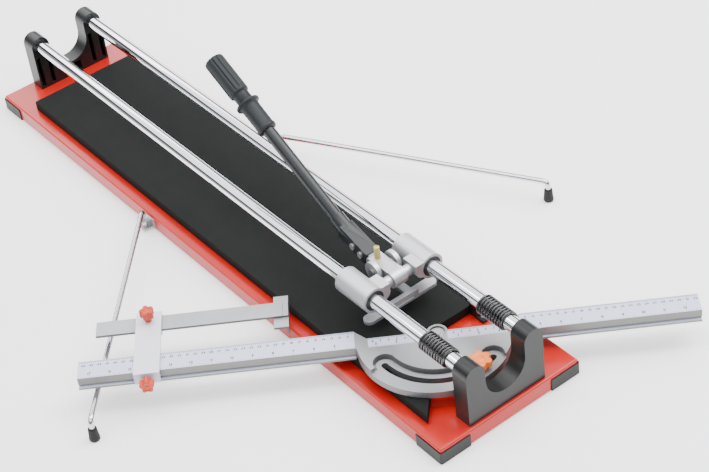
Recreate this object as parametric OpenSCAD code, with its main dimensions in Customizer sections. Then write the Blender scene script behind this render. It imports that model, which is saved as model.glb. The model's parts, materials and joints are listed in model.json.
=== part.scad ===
// Rail tile cutter with a rotating protractor fence, an extending stop bar and two
// fold-out support arms. Millimetres. The origin is the middle of the underside, on the
// bench; +X is to the right, +Y runs along the rails away from the protractor, +Z is up.

/* [Base] */
// Width of the base over its corner caps
base_w = 224; // [216:1:240]
// Length of the base over its corner caps
base_l = 1033; // [1020:1:1100]
// Height of the base top above the bench
base_h = 23; // [21:1:26]
// Thickness of the folded base sheet
sheet_t = 2; // [1.5:0.5:3]
// Thickness of the rubber pads
pad_t = 14; // [12:0.5:14]

/* [Rails] */
// Diameter of the two chromed rails
rail_d = 20; // [16:1:22]
// Distance between the rail axes
rail_gap = 91.4; // [88:0.2:96]
// Height of the rail axes above the bench
rail_z = 95.5; // [94:0.5:110]
// Depth of the end brackets along the rails
bracket_d = 25; // [22:1:30]

/* [Carriage] */
// Middle of the carriage along the rails
carriage_y = -294; // [-300:1:200]
// Length of each rail housing
housing_l = 58; // [54:1:60]
// Outside diameter of each rail housing
housing_d = 35; // [34:0.5:38]
// Diameter of the scoring wheel
wheel_d = 18; // [16:0.5:18]

/* [Handle] */
// Slope of the handle tube above the horizontal, in degrees
handle_rise = 27.5; // [20:0.5:40]
// Diameter of the handle tube
handle_d = 17; // [14:0.5:18]
// Length from the socket to the end of the grip
handle_l = 297; // [240:1:320]

/* [Protractor and ruler] */
// Turn of the ruler from square, in degrees
ruler_turn = 35.4; // [0:0.1:45]
// Length of the ruler to the left of its pivot
ruler_left_l = 447; // [430:1:500]
// Length of the ruler to the right of its pivot
ruler_right_l = 324; // [250:1:400]
// Width of the ruler's top face
ruler_w = 30; // [28:1:32]
// Outside radius of the protractor casting
protractor_r = 97; // [95:1:99]

/* [Stop bar] */
// Distance of the slider from the pivot, along the ruler
slider_at = 360; // [330:1:400]
// Length of the stop bar
stop_bar_l = 238; // [200:1:260]

/* [Support arms] */
// Reach of each arm from its hinge to its foot
arm_reach = 404; // [350:1:420]
// Diameter of the arm wire
arm_d = 7.5; // [6:0.5:8]
// Direction of the left arm, in degrees towards the protractor from square
arm_left_turn = 47.7; // [0:0.1:80]
// Direction of the right arm, in degrees towards the protractor from square
arm_right_turn = 61.1; // [0:0.1:80]

/* [Hidden] */
$fn = 64;
eps = 0.01;
fit = 0.05;               // radial running clearance of every turning or sliding fit

// base
cap_wall = 1.5;
cap_l = 47;
cap_h = 18.5;
tray_w = base_w - 2 * cap_wall;
tray_l = base_l - 2 * cap_wall;
skirt_z = 2;
skirt_r = 4;
ridge_w = 7;
pad_edge_x = 93;
pad_far_y = 446;
pad_right_near_y = -360;
pad_left_near_y = -472;
pad_split_x = 4.5;
stiffener_w = 30;
stiffener_l = 960;

// rails and brackets
rail_x = rail_gap / 2;
rail_r = rail_d / 2;
bracket_y = 497.5;
post_r = 14.6;
post_outer_x = rail_x + post_r;
mouth_r = 31;
mouth_z = 77;
rail_end_y = 505;
rail_bolt_d = 6;
web_screw_x = 18;
web_screw_d = 5;
screw_head_z = base_h - sheet_t - 4;
stop_x = [70, 92];
stop_screw_x = [75, 87];
stop_screw_y = -379;
stop_screw_d = 4;

// buffer springs
spring_y = -466;
spring_l = 45;
spring_r = 12.3;
spring_wire = 1.6;
spring_turns = 10;

// carriage
near_y = carriage_y - housing_l / 2;
far_y = carriage_y + housing_l / 2;
bush_r = 14;
bush_l = 12;
axle_y = near_y + 14;
axle_z = rail_z + 2;
axle_r = 6;
lug_x = 21;
lug_d = 25;
lug_r = 11;

// lever, wheel and breaker
lever_x = 10;
lever_end_y = axle_y + 47;
lever_top = axle_z + 10;
lever_bottom = axle_z - 8;
ear_y = axle_y + 25;
ear_z = axle_z + 3;
ear_pin_r = 4;
ear_r = 14;
ear_x = 12.5;
ear_t = 6;
bolt_y = axle_y + 36;
bolt_r = 4;
wheel_y = axle_y + 31;
wheel_z = axle_z - 33;
wheel_t = 3;
holder_x = 6;
foot_z = 56;
foot_t = 5;
foot_half = 57;
foot_near_y = axle_y - 10;
foot_frame_h = 13;

// handle
socket_rise = 17;
socket_w = 20;
socket_y = axle_y + 45;
socket_z = axle_z + 3;
socket_l = 58;
tube_y = socket_y + 53 * cos(socket_rise);
tube_z = socket_z + 53 * sin(socket_rise);
tube_r = handle_d / 2;
sleeve_at = handle_l - 125;
collar_at = handle_l - 81;
neck_at = handle_l - 77;
ribs_at = handle_l - 62;

// protractor, in its own frame: x along the ruler, y across it, origin on the pivot
pivot_y = -382;
cast_z = 38;
band_z = 47.5;
deck_z = 53.5;
groove_z = 44;
slot_r = 81;
slot_half = 4.4;
slot_a0 = -147;
slot_a1 = -38;
bead_half = 11;
groove_half = 14.5;
horn_x = 102;
post_top_z = cast_z - 0.3;
stud_y = pivot_y - slot_r;
stud_r = 4;
knob_z = 54.5;
ruler_top = 54.5;
ruler_end_gap = 0.2;

// slider and stop bar, in the protractor's frame
slider_l = 32.5;
slider_z = ruler_top + 0.4;
slider_t = 4;
slider_near = -23.5;
slider_far = 89.5;
bar_y0 = 59.4;
bar_y1 = 85.6;
bar_mid = (bar_y0 + bar_y1) / 2;
bar_z = 51;
bar_end_x = -190;
stop_y0 = 42;
stop_y1 = 101;
front_knob_z = 48.5;
knob_stud_r = 3;

// support arms
arm_pin_x = 119;
arm_pin_y = 112;
arm_z = 31.5;

// ---- shared shapes --------------------------------------------------------------

// A flat-bottomed outline with two round top corners, standing on y = 0
module domed_outline(w, h, r) {
    translate([-w / 2, 0]) square([w, h - r]);
    translate([-w / 2 + r, 0]) square([w - 2 * r, h]);
    for (side = [-1, 1]) translate([side * (w / 2 - r), h - r]) circle(r);
}

// A block whose four top edges are rounded, standing on z = 0
module domed_block(w, l, h, r) {
    intersection() {
        rotate([90, 0, 0]) linear_extrude(l, center = true) domed_outline(w, h, r);
        rotate([90, 0, 90]) linear_extrude(w, center = true) domed_outline(l, h, r);
    }
}

// A cylinder along X from x0 to x1, at y, z
module rod_x(x0, x1, y, z, r) {
    translate([x0, y, z]) rotate([0, 90, 0]) cylinder(h = x1 - x0, r = r);
}

// A cylinder along Y from y0 to y1, at x, z
module rod_y(x, y0, y1, z, r) {
    translate([x, y0, z]) rotate([-90, 0, 0]) cylinder(h = y1 - y0, r = r);
}

// A cylinder along Z from z0 to z1, at x, y
module rod_z(x, y, z0, z1, r) {
    translate([x, y, z0]) cylinder(h = z1 - z0, r = r);
}

// A box given by its lowest and highest corners
module box(low, high) {
    translate(low) cube(high - low);
}

// The protractor's own frame, turned with the ruler about its pivot
module on_ruler() {
    translate([0, pivot_y, 0]) rotate([0, 0, -ruler_turn]) children();
}

// Socket head screw pointing up: its head's underside is at z, its shank rises by l
module screw_up(x, y, z, head_r, head_h, r, l) {
    difference() {
        rod_z(x, y, z, z + head_h, head_r);
        translate([x, y, z - 1]) cylinder(h = 3, r = head_r / 2, $fn = 6);
    }
    rod_z(x, y, z + head_h, z + head_h + l, r);
}

// ---- base -----------------------------------------------------------------------

// Folded sheet tray, open below, drilled for the brackets and the two posts
module base_tray() {
    inner_h = base_h - skirt_z - sheet_t;
    color("orangered") difference() {
        translate([0, 0, skirt_z]) domed_block(tray_w, tray_l, base_h - skirt_z, skirt_r);
        translate([0, 0, skirt_z - eps])
            domed_block(tray_w - 2 * sheet_t, tray_l - 2 * sheet_t, inner_h + eps, 2);
        for (end = [-1, 1]) for (side = [-1, 1]) {
            rod_z(side * rail_x, end * bracket_y, 18, 25, rail_bolt_d / 2 + 0.1);
            rod_z(side * web_screw_x, end * bracket_y, 18, 25, web_screw_d / 2 + 0.1);
        }
        for (y = [pivot_y, stud_y]) rod_z(0, y, 18, 25, 4.05);
        for (x = stop_screw_x) rod_z(x, stop_screw_y, 18, 25, stop_screw_d / 2 + 0.05);
    }
}

// Channel under the middle of the tray, which rests on the bench with the caps
module base_stiffener() {
    top = base_h - sheet_t;
    color("dimgray") difference() {
        box([-stiffener_w / 2, -stiffener_l / 2, 0], [stiffener_w / 2, stiffener_l / 2, top]);
        box([-stiffener_w / 2 + 2, -stiffener_l / 2 - 1, 2],
            [stiffener_w / 2 - 2, stiffener_l / 2 + 1, top + 1]);
    }
}

// Moulded corner cap: a shoe whose groove takes the skirt. side_x, side_y pick the corner
module corner_cap(side_x, side_y) {
    groove = sheet_t + 0.2;
    inner = 2.5;
    wall = cap_wall - 0.1 + groove + inner;
    color("#2b2e30") scale_corner(side_x, side_y) difference() {
        linear_extrude(cap_h) union() {
            translate([-cap_l, -cap_l]) square([cap_l, cap_l - 3]);
            translate([-cap_l, -cap_l]) square([cap_l - 3, cap_l]);
            translate([-3, -3]) circle(3);
        }
        box([-cap_l - 1, -cap_l - 1, skirt_z], [-wall, -wall, cap_h + 1]);
        difference() {
            box([-cap_l - 1, -cap_l - 1, skirt_z],
                [-cap_wall + 0.1, -cap_wall + 0.1, cap_h + 1]);
            box([-cap_l - 2, -cap_l - 2, 0],
                [-cap_wall + 0.1 - groove, -cap_wall + 0.1 - groove, cap_h + 2]);
        }
    }
}

// Places a corner drawn towards -x, -y at the chosen corner of the base
module scale_corner(side_x, side_y) {
    translate([side_x * base_w / 2, side_y * base_l / 2, 0])
        mirror([side_x < 0 ? 1 : 0, 0, 0]) mirror([0, side_y < 0 ? 1 : 0, 0]) children();
}

module corner_cap_near_left() { corner_cap(-1, -1); }
module corner_cap_near_right() { corner_cap(1, -1); }
module corner_cap_far_left() { corner_cap(-1, 1); }
module corner_cap_far_right() { corner_cap(1, 1); }

// Left pad: runs on under the protractor, and ends in a mitre
module pad_left() {
    mitre = pad_edge_x - pad_split_x;
    color("#3c403e") difference() {
        translate([0, 0, base_h]) linear_extrude(pad_t) polygon([
            [-pad_edge_x, pad_far_y], [-pad_edge_x, pad_left_near_y],
            [-pad_split_x, pad_left_near_y + mitre], [-pad_split_x, pad_far_y]]);
        rod_z(0, pivot_y, base_h - 1, base_h + pad_t + 1, 15);
    }
}

module pad_right() {
    color("#3c403e") box([pad_split_x, pad_right_near_y, base_h],
                         [pad_edge_x, pad_far_y, base_h + pad_t]);
}

// Ridge between the pads, over which a scored tile snaps
module breaker_ridge() {
    top = base_h + pad_t + 1;
    color("silver") translate([0, pad_far_y, 0]) rotate([90, 0, 0])
        linear_extrude(pad_far_y + 355) polygon([
            [-ridge_w / 2, base_h], [ridge_w / 2, base_h], [ridge_w / 2, top - 5],
            [1.2, top], [-1.2, top], [-ridge_w / 2, top - 5]]);
}

// ---- rails and their brackets ---------------------------------------------------

// Front outline of a bracket: two round-topped posts with a round-bottomed mouth between
module bracket_outline() {
    difference() {
        union() {
            translate([-post_outer_x, base_h]) square([2 * post_outer_x, rail_z - base_h]);
            for (side = [-1, 1]) translate([side * rail_x, rail_z]) circle(post_r);
        }
        translate([0, mouth_z]) circle(mouth_r);
        translate([-mouth_r, mouth_z]) square([2 * mouth_r, 60]);
    }
}

// Bracket with its outer face at -y and its moulded pockets open at +y
module bracket() {
    face = bracket_d / 2;
    color("#33373a") difference() {
        rotate([90, 0, 0]) linear_extrude(bracket_d, center = true) bracket_outline();
        for (side = [-1, 1]) {
            rod_y(side * rail_x, -7.5, face + 1, rail_z, rail_r + 0.02);
            rod_z(side * rail_x, 0, base_h - 1, rail_z, rail_bolt_d / 2 + 0.1);
            rod_z(side * web_screw_x, 0, base_h - 1, 40, web_screw_d / 2 + 0.1);
            for (x = [[34, 40.2], [51.2, 57.4]])
                box([min(side * x[0], side * x[1]), -8, base_h + 4],
                    [max(side * x[0], side * x[1]), face + 1, rail_z - 18]);
        }
        box([-13, -8, base_h + 4], [13, face + 1, mouth_z - mouth_r - 4]);
    }
}

module near_bracket() { translate([0, -bracket_y, 0]) bracket(); }
module far_bracket() { translate([0, bracket_y, 0]) rotate([0, 0, 180]) bracket(); }

// Long bolts, from under the tray up each post and into the rail
module rail_bolts() {
    color("gray") for (end = [-1, 1]) for (side = [-1, 1])
        screw_up(side * rail_x, end * bracket_y, screw_head_z, 5, 4,
                 rail_bolt_d / 2, rail_z - 4 - base_h + sheet_t);
}

// Short screws that hold the middle of each bracket, and the square stop
module bracket_screws() {
    color("gray") for (end = [-1, 1]) for (side = [-1, 1])
        screw_up(side * web_screw_x, end * bracket_y, screw_head_z, 4.5, 4,
                 web_screw_d / 2, 16);
    color("gray") for (x = stop_screw_x)
        screw_up(x, stop_screw_y, screw_head_z, 3.5, 4, stop_screw_d / 2, 7);
}

module rail(side) {
    color("gainsboro") difference() {
        rod_y(side * rail_x, -rail_end_y, rail_end_y, rail_z, rail_r);
        for (end = [-1, 1])
            rod_z(side * rail_x, end * bracket_y, rail_z - rail_d, rail_z - 3,
                  rail_bolt_d / 2 + 0.1);
    }
}

module rail_left() { rail(-1); }
module rail_right() { rail(1); }

// Ring k of the spring's wire: a circle of n points square to the coil
function coil_ring(t, n) = let (a = 360 * spring_turns * t, y = spring_l * t)
    [for (i = [0:n - 1]) let (b = 360 * i / n, rr = spring_r + spring_wire * cos(b))
        [rr * cos(a), y + spring_wire * sin(b), rr * sin(a)]];

// Buffer spring around a rail: one closed sweep of a round wire along a helix
module coil_spring() {
    n = 8;
    rings = spring_turns * 20;
    points = [for (k = [0:rings]) each coil_ring(k / rings, n)];
    sides = [for (k = [0:rings - 1]) for (i = [0:n - 1]) let (j = (i + 1) % n)
        [k * n + i, k * n + j, (k + 1) * n + j, (k + 1) * n + i]];
    start = [for (i = [0:n - 1]) n - 1 - i];
    end = [for (i = [0:n - 1]) rings * n + i];
    polyhedron(points, concat([start], sides, [end]), convexity = 20);
}

module spring_left() {
    color("#222426") translate([-rail_x, spring_y, rail_z]) coil_spring();
}

module spring_right() {
    color("#222426") translate([rail_x, spring_y, rail_z]) coil_spring();
}

// ---- fixed pieces under the protractor ------------------------------------------

// Upright stop that the right end of the ruler meets when it is square
module square_stop() {
    color("#3a3d3f") difference() {
        union() {
            box([stop_x[0], -366.3, base_h], [stop_x[1], -360.3, 42]);
            box([stop_x[0], -374.5, base_h], [stop_x[0] + 14, -366.3 + eps, 44]);
            box([stop_x[0], -386, base_h], [stop_x[1], -366.3 + eps, base_h + 4]);
        }
        for (x = stop_screw_x)
            rod_z(x, stop_screw_y, base_h - 1, base_h + 5, stop_screw_d / 2 + 0.05);
    }
}

// Turned post that the protractor turns on, riveted through the tray
module pivot_post() {
    color("silver") difference() {
        union() {
            rod_z(0, pivot_y, screw_head_z, base_h - sheet_t, 7);
            rod_z(0, pivot_y, base_h - sheet_t - eps, base_h + eps, 4);
            rod_z(0, pivot_y, base_h, post_top_z, 13);
            rod_z(0, pivot_y, post_top_z - eps, 50.3, 5);
        }
        rod_z(0, pivot_y, 34, 51, 2.05);
    }
}

module pivot_washer() {
    color("silver") difference() {
        rod_z(0, pivot_y, 50.3, 51.6, 8.5);
        rod_z(0, pivot_y, 50, 52, 2.1);
    }
}

module pivot_screw() {
    color("silver") {
        rod_z(0, pivot_y, 36, 51.6, 2);
        difference() {
            rod_z(0, pivot_y, 51.6, 53.3, 4);
            translate([0, pivot_y, 52.4]) cylinder(h = 2, r = 1.7, $fn = 6);
        }
    }
}

// Threaded post in the protractor's curved slot
module clamp_post() {
    color("silver") {
        rod_z(0, stud_y, screw_head_z, base_h - sheet_t, 7);
        rod_z(0, stud_y, base_h - sheet_t - eps, base_h + eps, 4);
        rod_z(0, stud_y, base_h, post_top_z, 8);
        rod_z(0, stud_y, post_top_z - eps, knob_z + 6, stud_r);
    }
}

// ---- support arms ---------------------------------------------------------------

// Folded hinge bracket on the skirt: a back plate and two ears
module arm_bracket(side) {
    x0 = tray_w / 2;
    color("silver") mirror([side < 0 ? 1 : 0, 0, 0]) difference() {
        union() {
            box([x0, arm_pin_y - 13, 3.5], [x0 + 1.5, arm_pin_y + 13, 19]);
            for (z = [3.5, 17.3])
                box([x0, arm_pin_y - 8, z], [arm_pin_x + 7, arm_pin_y + 8, z + 1.7]);
        }
        rod_z(arm_pin_x, arm_pin_y, 1, 22, arm_d / 2 + fit);
    }
}

module arm_bracket_left() { arm_bracket(-1); }
module arm_bracket_right() { arm_bracket(1); }

// Push-on rings on the wire, one under the lower ear and one over the upper ear
module arm_rings(side) {
    color("silver") for (z = [1.5, 19.3]) difference() {
        rod_z(side * arm_pin_x, arm_pin_y, z, z + 1.7, 6);
        rod_z(side * arm_pin_x, arm_pin_y, z - 1, z + 3, arm_d / 2 + 0.01);
    }
}

module arm_rings_left() { arm_rings(-1); }
module arm_rings_right() { arm_rings(1); }

// The left arm's frame: x runs outwards along the arm from its hinge
module on_arm(side, turn) {
    translate([side * arm_pin_x, arm_pin_y, 0])
        rotate([0, 0, side < 0 ? 180 + turn : -turn]) children();
}

// Bent wire arm: an upright end that turns in the bracket, a level run and a drop
module arm() {
    color("gainsboro") {
        rod_z(0, 0, 1.2, arm_z, arm_d / 2);
        rod_x(0, arm_reach, 0, arm_z, arm_d / 2);
        for (x = [0, arm_reach]) translate([x, 0, arm_z]) sphere(arm_d / 2 + 0.3);
        rod_z(arm_reach, 0, 6, arm_z, arm_d / 2);
    }
}

module arm_left() { on_arm(-1, arm_left_turn) arm(); }
module arm_right() { on_arm(1, arm_right_turn) arm(); }

module arm_foot() {
    color("#26282a") translate([arm_reach, 0, 0]) difference() {
        union() {
            cylinder(h = 6, r = 7);
            translate([0, 0, 6 - eps]) cylinder(h = 14, r1 = 7, r2 = 5.6);
        }
        translate([0, 0, 6]) cylinder(h = 20, r = arm_d / 2 + 0.02);
    }
}

module arm_foot_left() { on_arm(-1, arm_left_turn) arm_foot(); }
module arm_foot_right() { on_arm(1, arm_right_turn) arm_foot(); }

// ---- carriage -------------------------------------------------------------------

// Cast housing on the right rail, with the lug that holds the axle
module housing() {
    color("#b9babd") difference() {
        union() {
            rod_y(rail_x, near_y, far_y, rail_z, housing_d / 2);
            box([lug_x, near_y, axle_z], [rail_x, near_y + lug_d, axle_z + lug_r]);
            box([lug_x + lug_r, near_y, axle_z - lug_r], [rail_x, near_y + lug_d, axle_z + 1]);
            rod_y(lug_x + lug_r, near_y, near_y + lug_d, axle_z, lug_r);
        }
        rod_y(rail_x, near_y - 1, far_y + 1, rail_z, rail_r + 1.5);
        rod_y(rail_x, near_y - 1, near_y + bush_l, rail_z, bush_r);
        rod_y(rail_x, far_y - bush_l, far_y + 1, rail_z, bush_r);
        rod_x(lug_x - 1, 30, axle_y, axle_z, axle_r + 0.02);
    }
}

module housing_right() { housing(); }
module housing_left() { mirror([1, 0, 0]) housing(); }

// Two plain bushes at the ends of a housing
module bushes(side) {
    color("#2a2c2e") for (y = [near_y, far_y - bush_l]) difference() {
        rod_y(side * rail_x, y, y + bush_l, rail_z, bush_r);
        rod_y(side * rail_x, y - 1, y + bush_l + 1, rail_z, rail_r + fit);
    }
}

module bushes_left() { bushes(-1); }
module bushes_right() { bushes(1); }

module cross_axle() {
    color("silver") rod_x(-30, 30, axle_y, axle_z, axle_r);
}

// Rings on the axle, one each side of the lever
module axle_clips() {
    w = lug_x - lever_x - 0.8;
    color("silver") for (x = [-lug_x + 0.4, lever_x + 0.4]) difference() {
        rod_x(x, x + w, axle_y, axle_z, 7.5);
        rod_x(x - 1, x + w + 1, axle_y, axle_z, axle_r + 0.01);
    }
}

// ---- lever ----------------------------------------------------------------------

// The socket's own frame: z runs up the socket from the lever's end
module on_socket() {
    translate([0, socket_y, socket_z]) rotate([socket_rise - 90, 0, 0]) children();
}

// The handle's own frame: z runs up the handle tube
module on_handle() {
    translate([0, tube_y, tube_z]) rotate([handle_rise - 90, 0, 0]) children();
}

// Lever that turns on the axle, with a tongue for the handle socket
module lever_block() {
    color("#c3c4c7") difference() {
        union() {
            rod_x(-lever_x, lever_x, axle_y, axle_z, 11);
            box([-lever_x, axle_y, lever_bottom], [lever_x, lever_end_y - 4, lever_top]);
            box([-lever_x, axle_y, lever_bottom + 4], [lever_x, lever_end_y, lever_top - 4]);
            rod_x(-lever_x, lever_x, lever_end_y - 4, lever_top - 4, 4);
            rod_x(-lever_x, lever_x, lever_end_y - 4, lever_bottom + 4, 4);
            on_socket() translate([-6, -6, -6]) cube([12, 12, 46]);
        }
        rod_x(-lever_x - 1, lever_x + 1, axle_y, axle_z, axle_r + fit);
        rod_x(-lever_x - 1, lever_x + 1, ear_y, ear_z, ear_pin_r + 0.02);
        rod_z(0, bolt_y, lever_bottom - 1, lever_top + 1, bolt_r + fit);
        for (s = [14, 30]) on_socket() translate([-8, 0, s]) rotate([0, 90, 0])
            cylinder(h = 16, r = 2.6);
    }
}

// Pin through the lever that carries the breaker's ears
module ear_pin() {
    x = ear_x + ear_t + 0.5;
    color("silver") {
        rod_x(-x, x, ear_y, ear_z, ear_pin_r);
        for (side = [0, 1]) mirror([side, 0, 0]) rod_x(x - eps, x + 1.2, ear_y, ear_z, 5.5);
    }
}

// Brass screw that stands in the lever above the wheel holder
module adjusting_bolt() {
    color("#b59a4a") difference() {
        rod_z(0, bolt_y, lever_bottom + 0.4, lever_top + 18, bolt_r);
        box([-5, bolt_y - 0.8, lever_top + 16], [5, bolt_y + 0.8, lever_top + 19]);
    }
}

// Forked holder under the lever
module wheel_holder() {
    color("#9a9ca0") difference() {
        union() {
            box([-holder_x, wheel_y - 6, wheel_z], [holder_x, wheel_y + 6, lever_bottom]);
            rod_x(-holder_x, holder_x, wheel_y, wheel_z, 6);
        }
        box([-1.9, wheel_y - 10, wheel_z - 10], [1.9, wheel_y + 10, wheel_z + wheel_d / 2 + 2]);
        rod_x(-holder_x - 1, holder_x + 1, wheel_y, wheel_z, 2.02);
    }
}

module wheel_pin() {
    color("silver") rod_x(-holder_x - 0.8, holder_x + 0.8, wheel_y, wheel_z, 2);
}

// Hard wheel with a sharp rim and a running bore
module scoring_wheel() {
    r = wheel_d / 2;
    color("#8d9094") translate([0, wheel_y, wheel_z]) rotate([0, 90, 0]) rotate_extrude()
        polygon([[2 + fit, -wheel_t / 2], [r - 2, -wheel_t / 2], [r, 0],
                 [r - 2, wheel_t / 2], [2 + fit, wheel_t / 2]]);
}

// Breaker: two round ears, two legs, two wings and a raised frame with a round bar in it
module breaker_foot() {
    top = foot_z + foot_t;
    color("#c9cacd") difference() {
        union() {
            for (side = [0, 1]) mirror([side, 0, 0]) {
                rod_x(ear_x, ear_x + ear_t, ear_y, ear_z, ear_r);
                box([ear_x, ear_y - 6, foot_z], [ear_x + ear_t, ear_y + 8, ear_z]);
                box([ear_x, foot_near_y, foot_z], [24, ear_y + 8, top]);
                box([ear_x, foot_near_y, foot_z], [foot_half - 8, axle_y + 6, top]);
                rod_z(foot_half - 8, axle_y - 2, foot_z, top, 8);
            }
            box([-24, foot_near_y, foot_z], [24, foot_near_y + 7, foot_z + foot_frame_h]);
        }
        box([-17, foot_near_y - 1, foot_z + 3.5], [17, foot_near_y + 8, foot_z + 9.5]);
        for (side = [0, 1]) mirror([side, 0, 0])
            rod_x(ear_x - 1, ear_x + ear_t + 1, ear_y, ear_z, ear_pin_r + fit);
    }
    color("#c9cacd") rod_x(-18, 18, foot_near_y + 3.5, foot_z + 6.5, 2.6);
}

// Soft pads under the breaker's wings
module breaker_pads() {
    color("#26282a") for (side = [0, 1]) mirror([side, 0, 0])
        box([28, axle_y - 8, foot_z - 1], [50, axle_y + 4, foot_z]);
}

// ---- handle ---------------------------------------------------------------------

// Square socket over the lever's tongue, with a round mouth for the tube
module handle_socket() {
    half = socket_w / 2;
    color("#34383b") difference() {
        union() {
            on_socket() translate([-half, -half, 4]) cube([socket_w, socket_w, socket_l - 4]);
            on_handle() cylinder(h = 24, r = half + 0.5);
            on_handle() sphere(half + 0.5);
        }
        on_socket() translate([-6.1, -6.1, 0]) cube([12.2, 12.2, 42]);
        on_handle() translate([0, 0, 2]) cylinder(h = 40, r = tube_r + 0.02);
        for (s = [14, 30]) on_socket() translate([-20, 0, s]) rotate([0, 90, 0])
            cylinder(h = 40, r = 2.6);
    }
}

// Cross screws that hold the socket to the lever's tongue
module socket_screws() {
    color("gray") for (s = [14, 30]) on_socket() translate([0, 0, s]) rotate([0, 90, 0]) {
        translate([0, 0, -socket_w / 2 - 2.5]) cylinder(h = 2.5, r = 4.5);
        translate([0, 0, -socket_w / 2 - eps]) cylinder(h = socket_w + 2 * eps, r = 2.5);
        translate([0, 0, socket_w / 2]) cylinder(h = 3, r = 4.6, $fn = 6);
    }
}

module handle_tube() {
    color("#3b3f42") on_handle() translate([0, 0, 2]) difference() {
        cylinder(h = handle_l - 10, r = tube_r);
        translate([0, 0, -1]) cylinder(h = handle_l, r = tube_r - 1.6);
    }
}

module handle_sleeve() {
    color("#303436") on_handle() translate([0, 0, sleeve_at]) difference() {
        union() {
            cylinder(h = collar_at - sleeve_at, r = 12.5);
            translate([0, 0, 2]) cylinder(h = 6, r = 13.2);
        }
        translate([0, 0, -1]) cylinder(h = 60, r = tube_r + 0.02);
    }
}

module handle_collar() {
    color("#303436") on_handle() translate([0, 0, collar_at]) difference() {
        cylinder(h = neck_at - collar_at, r = 17);
        translate([0, 0, -1]) cylinder(h = 8, r = tube_r + 0.02);
    }
}

// Grip: a plain neck, then a fluted barrel with a closed round end
module handle_grip() {
    barrel = handle_l - ribs_at - 3;
    color("#2c3032") on_handle() difference() {
        union() {
            translate([0, 0, neck_at]) cylinder(h = ribs_at - neck_at + 1, r = 11);
            translate([0, 0, ribs_at]) cylinder(h = 4, r1 = 11, r2 = 14);
            translate([0, 0, ribs_at + 4]) cylinder(h = barrel - 4, r = 14);
            translate([0, 0, ribs_at + barrel]) cylinder(h = 3, r1 = 14, r2 = 11.5);
        }
        translate([0, 0, neck_at - 1]) cylinder(h = handle_l - 8 - neck_at + 2, r = tube_r + 0.02);
        for (i = [0:9]) rotate([0, 0, 36 * i]) translate([15.6, 0, ribs_at + 7])
            cylinder(h = barrel - 12, r = 2.4);
    }
}

// ---- protractor and ruler -------------------------------------------------------

// A wedge of the plane from a0 to a1 degrees, out to radius r
module wedge(r, a0, a1) {
    n = 6;
    polygon(concat([[0, 0]], [for (i = [0:n]) let (a = a0 + (a1 - a0) * i / n)
        [r * 1.2 * cos(a), r * 1.2 * sin(a)]]));
}

// A curved slot on the slot radius, half wide each way, with round ends a hair wider
module curved_slot(half) {
    intersection() {
        difference() {
            circle(slot_r + half);
            circle(slot_r - half);
        }
        wedge(slot_r + half, slot_a0, slot_a1);
    }
    for (a = [slot_a0, slot_a1]) translate([slot_r * cos(a), slot_r * sin(a)])
        circle(half + 0.05);
}

// The low zone around the slot, out to the rim
module low_zone(half) {
    curved_slot(half);
    intersection() {
        difference() {
            circle(protractor_r + 12);
            circle(slot_r);
        }
        wedge(protractor_r + 12, slot_a0, slot_a1 + 5);
    }
}

// Half disc with a straight edge on the pivot, and a horn at each end to meet a ruler
module protractor_outline() {
    intersection() {
        translate([-4, -3]) circle(protractor_r);
        translate([-120, -120]) square([240, 121]);
    }
    for (side = [0, 1]) mirror([side, 0])
        polygon([[60, 1], [horn_x - 14.5, 1], [horn_x, ruler_w / 2],
                 [horn_x, -ruler_w / 2], [60, -ruler_w / 2]]);
    circle(13);
}

// Three layers: a plate with the slot, the bead between slot and groove, and the deck
module protractor() {
    color("#b7b9bd") on_ruler() difference() {
        union() {
            translate([0, 0, cast_z]) linear_extrude(groove_z - cast_z) difference() {
                protractor_outline();
                curved_slot(slot_half);
            }
            translate([0, 0, groove_z]) linear_extrude(band_z - groove_z) difference() {
                protractor_outline();
                curved_slot(slot_half);
                difference() {
                    curved_slot(groove_half);
                    low_zone(bead_half);
                }
            }
            translate([0, 0, band_z]) linear_extrude(deck_z - band_z) difference() {
                protractor_outline();
                low_zone(groove_half);
            }
            for (side = [0, 1]) mirror([side, 0, 0])
                box([horn_x - 1, -10, 41], [horn_x + 40, 0, 51.5]);
        }
        rod_z(0, 0, cast_z - 1, 60, 5 + fit);
        rod_z(0, 0, 50, 60, 10);
        for (side = [0, 1]) mirror([side, 0, 0]) for (x = [112, 130])
            rod_z(x, -5, 30, 60, 2.55);
    }
}

// End outline of the ruler: flat top, a groove along the front and a low flange
module ruler_outline() {
    half = ruler_w / 2;
    difference() {
        polygon([[half, cast_z], [half, ruler_top], [-half, ruler_top], [-half, 43.5],
                 [2.5 - half, 43.5], [2.5 - half, 41], [-half - 3, 41], [-half - 3, cast_z]]);
        translate([4.5 - half, cast_z + 2.5]) square([ruler_w - 7, ruler_top - cast_z - 5]);
    }
}

// A length of ruler from x0 to x1, drilled for its two countersunk screws
module ruler(x0, x1, screws) {
    color("#ccced8") on_ruler() difference() {
        translate([x0, 0, 0]) rotate([90, 0, 90]) linear_extrude(x1 - x0) ruler_outline();
        for (x = screws) {
            rod_z(x, -5, cast_z - 1, cast_z + 4, 2.55);
            translate([x, -5, cast_z - eps]) cylinder(h = 2.2, r1 = 4.8, r2 = 2.5);
        }
    }
}

module ruler_left() { ruler(-ruler_left_l, -horn_x - ruler_end_gap, [-130, -112]); }
module ruler_right() { ruler(horn_x + ruler_end_gap, ruler_right_l, [112, 130]); }

// Countersunk screws from below, two in each ruler
module ruler_screws() {
    color("gray") on_ruler() for (x = [-130, -112, 112, 130]) {
        translate([x, -5, cast_z]) cylinder(h = 2, r1 = 4.6, r2 = 2.5);
        rod_z(x, -5, cast_z + 2 - eps, cast_z + 12, 2.5);
    }
}

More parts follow.
